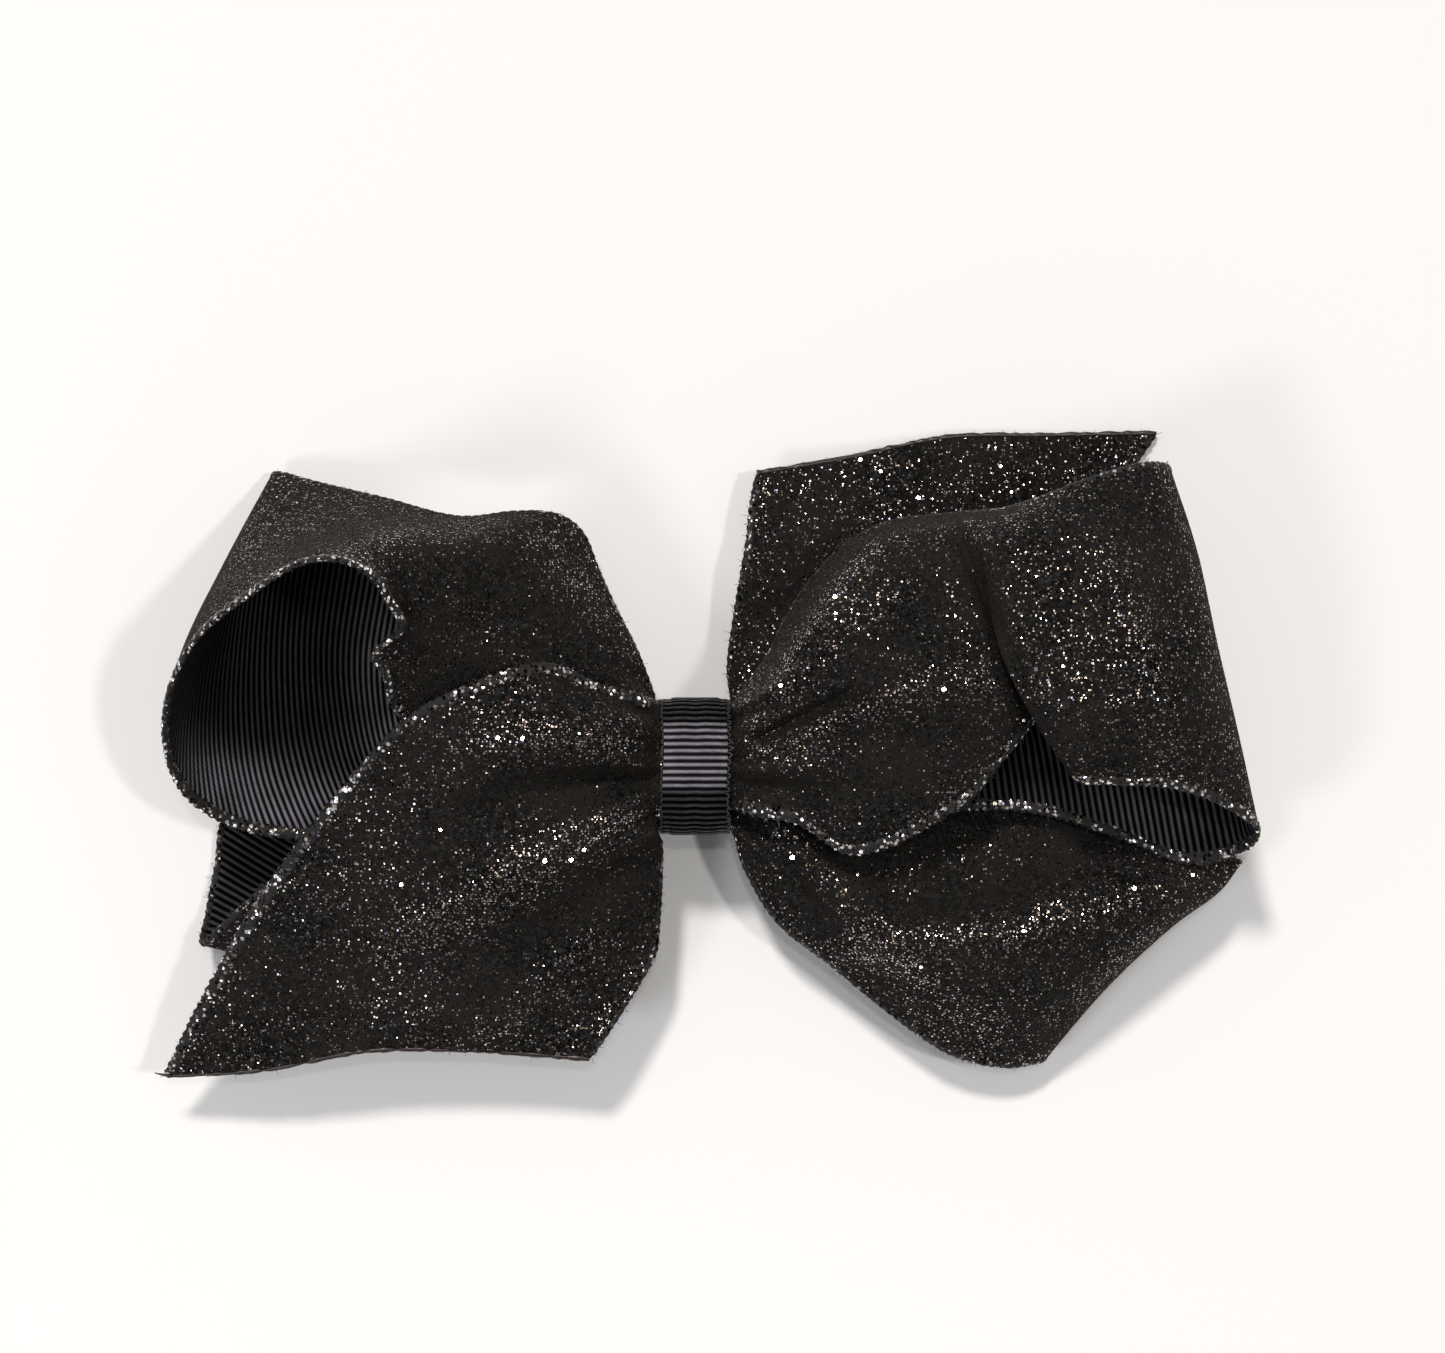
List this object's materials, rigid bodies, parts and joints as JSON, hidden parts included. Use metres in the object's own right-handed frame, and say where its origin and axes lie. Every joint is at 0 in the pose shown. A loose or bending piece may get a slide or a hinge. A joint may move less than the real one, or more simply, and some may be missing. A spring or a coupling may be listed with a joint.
{
  "type": "cheer hair bow",
  "caption": "Large black glitter cheer hair bow: folded ribbon loops and two cut tails gathered under a grosgrain centre wrap, on a sprung alligator clip.",
  "frame": {"origin": "centre of the bounding box in X and Y, at the lowest point in Z: the bow lies on its back with its clip and lower loops on the surface", "axes": "+X along the bow's long axis towards the right-hand loops, +Y towards the upper tail, +Z out of the bow's face"},
  "size_m": [0.1603, 0.0956, 0.0449],
  "materials": {
    "glitter_ribbon": "black velvet-like ribbon face with fine silver glitter",
    "grosgrain": "black ribbed grosgrain",
    "thread": "black polyester thread",
    "glue": "hot-melt glue",
    "clip_steel": "nickel-plated sheet steel",
    "spring_steel": "spring wire",
    "rubber": "soft ribbed rubber"
  },
  "bodies": {
    "bow": {"lower_left_tail": "glitter_ribbon", "upper_left_loop": "glitter_ribbon", "lower_left_loop": "glitter_ribbon", "upper_right_loop": "glitter_ribbon", "lower_right_loop": "glitter_ribbon", "upper_right_tail": "glitter_ribbon", "gathered_centre": "glitter_ribbon", "binding_thread": "thread", "centre_wrap": "grosgrain", "wrap_glue": "glue", "clip_glue_pad": "glue", "clip_upper_lever": "clip_steel", "clip_hinge_pin": "clip_steel", "clip_spring": "spring_steel", "clip_lining": "grosgrain"},
    "clip_jaw": {"clip_lower_lever": "clip_steel", "clip_grip_pad": "rubber"}
  },
  "joints": [
    {"name": "clip_hinge", "type": "hinge", "parent": "bow", "child": "clip_jaw", "pos_m": [0.00873, -0.00183, 0.0035], "axis": [0, -1, 0], "range_deg": [0, 22], "stiffness_Nm_per_rad": 0.06, "springref_deg": -34.38, "deforming": ["clip_spring"]}
  ]
}
